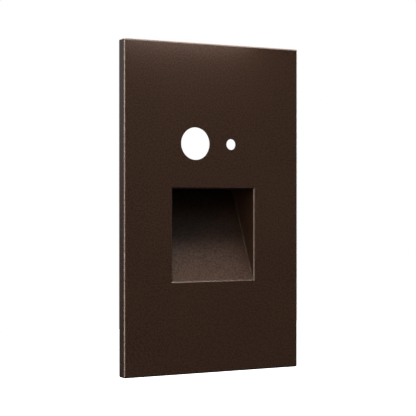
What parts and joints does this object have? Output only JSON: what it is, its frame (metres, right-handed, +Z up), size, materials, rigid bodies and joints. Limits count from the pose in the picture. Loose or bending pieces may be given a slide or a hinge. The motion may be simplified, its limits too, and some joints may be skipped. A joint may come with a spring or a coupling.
{
  "type": "step light",
  "caption": "Recessed wall step light: flat rectangular plate with a slanted square light hopper and two open sensor bores, on a bracket and housing for a wall box.",
  "frame": {"origin": "midway between the two box-screw holes, on the back of the bracket's dished seats, which bear on the wall box", "axes": "+X to the viewer's right, +Y into the wall, +Z up; the plate faces -Y"},
  "size_m": [0.0762, 0.0389, 0.127],
  "materials": {
    "bronze_powder_coat": "oil-rubbed bronze powder coat, fine grain, on die-cast aluminium",
    "magnet_nickel": "nickel-plated magnet",
    "foam_rubber": "closed-cell foam",
    "zinc_steel": "bright zinc-plated sheet steel",
    "screw_zinc": "zinc-plated screw",
    "ground_green": "green-dyed zinc plating",
    "cast_aluminium": "as-cast aluminium, shot-blasted",
    "frosted_glass": "frosted on the inner side",
    "silicone_clear": "translucent silicone",
    "white_plastic": "white, high reflectance",
    "white_board": "white solder mask on aluminium core",
    "lamp_yellow": "phosphor in a white package",
    "pad_grey": "thermal pad",
    "green_board": "green solder mask",
    "ferrite": "sintered ferrite",
    "tape_yellow": "polyester tape over the winding",
    "capacitor_sleeve": "heat-shrunk sleeve",
    "box_capacitor": "moulded case",
    "chip_black": "moulded package",
    "varistor_blue": "epoxy-dipped disc",
    "wire_sleeve": "insulated hook-up wire",
    "black_rubber": "moulded rubber",
    "red_silicone": "silicone sheet"
  },
  "bodies": {
    "engine": {"mounting_bracket": "zinc_steel", "engine_screws": "screw_zinc", "ground_screw": "ground_green", "engine_housing": "cast_aluminium", "window_lens": "frosted_glass", "lens_gasket": "silicone_clear", "reflector": "white_plastic", "lamp_board": "white_board", "lamp_chips": "lamp_yellow", "thermal_pad": "pad_grey", "lamp_screws": "screw_zinc", "driver_board": "green_board", "driver_screws": "screw_zinc", "transformer_core": "ferrite", "transformer_coil": "tape_yellow", "bulk_capacitor": "capacitor_sleeve", "output_capacitor": "capacitor_sleeve", "film_capacitor": "box_capacitor", "bridge_rectifier": "chip_black", "fuse": "chip_black", "varistor": "varistor_blue", "driver_chips": "chip_black", "lamp_wires": "wire_sleeve", "cover_seal": "red_silicone", "rear_cover": "cast_aluminium", "cover_screws": "screw_zinc", "lead_grommet": "black_rubber"},
    "cover": {"face_plate": "bronze_powder_coat", "plate_magnets": "magnet_nickel", "wall_gasket": "foam_rubber"}
  },
  "joints": [
    {"name": "plate_pull", "type": "slide", "parent": "engine", "child": "cover", "axis": [0, -1, 0], "range_m": [0, 0.04]}
  ]
}
